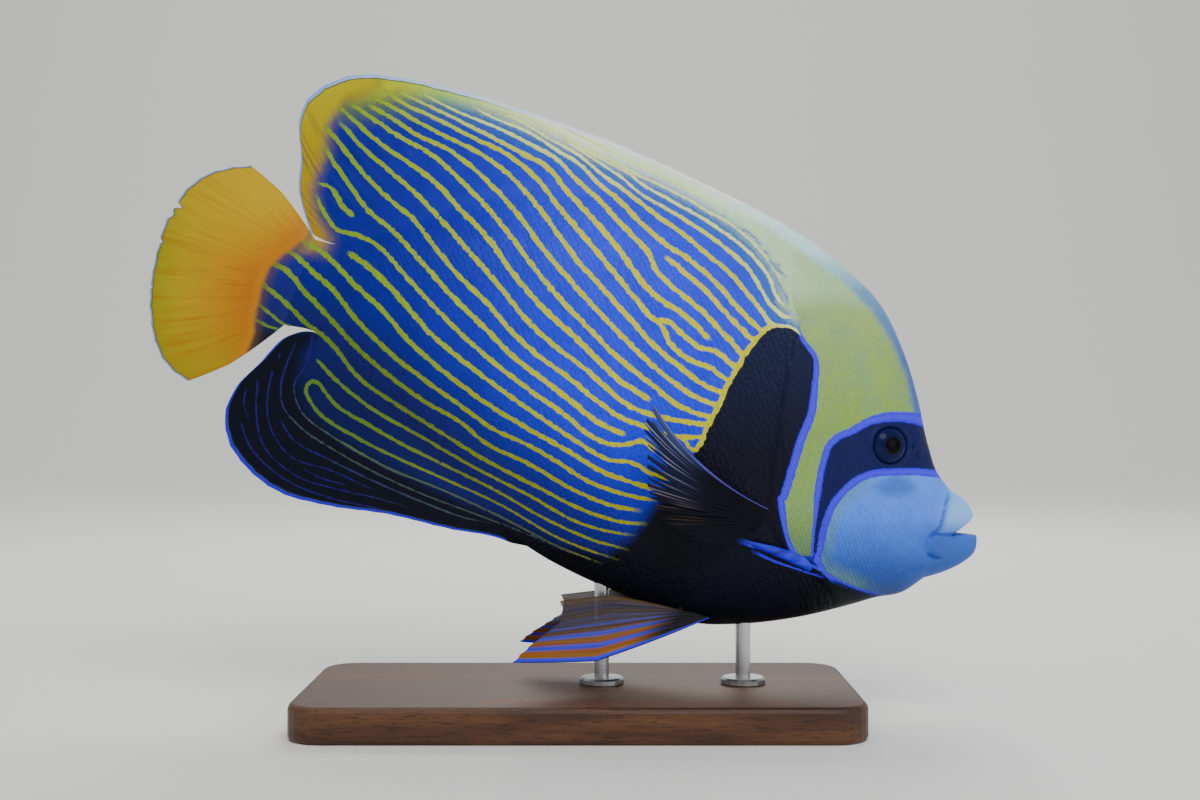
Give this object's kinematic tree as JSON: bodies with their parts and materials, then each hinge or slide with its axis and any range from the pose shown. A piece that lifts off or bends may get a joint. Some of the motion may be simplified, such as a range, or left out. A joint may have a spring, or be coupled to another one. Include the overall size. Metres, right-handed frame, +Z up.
{
  "type": "emperor angelfish model on a stand",
  "caption": "Life-size reef angelfish with striped body, tall rounded fins and small mouth, pitched head down on a flat base with two short rods.",
  "frame": {"origin": "middle of the underside of the stand's base, on the floor", "axes": "+X the way the fish swims, along the stand, +Y to the fish's left, +Z up"},
  "size_m": [0.3352, 0.11, 0.2605],
  "materials": {
    "striped_skin": "damp scaly skin, blue with thin yellow lines",
    "face_skin": "damp skin, pale blue face, yellow-green cheek and a navy mask",
    "yellow_fin": "damp orange-yellow fin membrane with fine rays",
    "navy_fin": "damp navy fin membrane with thin blue lines",
    "smoky_fin": "clear smoky fin membrane with fine rays",
    "eye": "clear wet cornea over a dark iris",
    "blue_spine": "bright blue skin over bone",
    "stand_wood": "dark close-grained wood, satin lacquer",
    "stand_steel": "turned rod, satin"
  },
  "bodies": {
    "root": {"tail_stem": "striped_skin", "torso": "striped_skin", "head": "face_skin", "dorsal_fin": "striped_skin", "anal_fin": "navy_fin", "caudal_fin": "yellow_fin", "eye_left": "eye", "cheek_spine_left": "blue_spine", "pectoral_fin_left": "smoky_fin", "pelvic_fin_left": "smoky_fin", "eye_right": "eye", "cheek_spine_right": "blue_spine", "pectoral_fin_right": "smoky_fin", "pelvic_fin_right": "smoky_fin", "stand_base": "stand_wood", "stand_rod_front": "stand_steel", "stand_rod_rear": "stand_steel"}
  },
  "joints": []
}
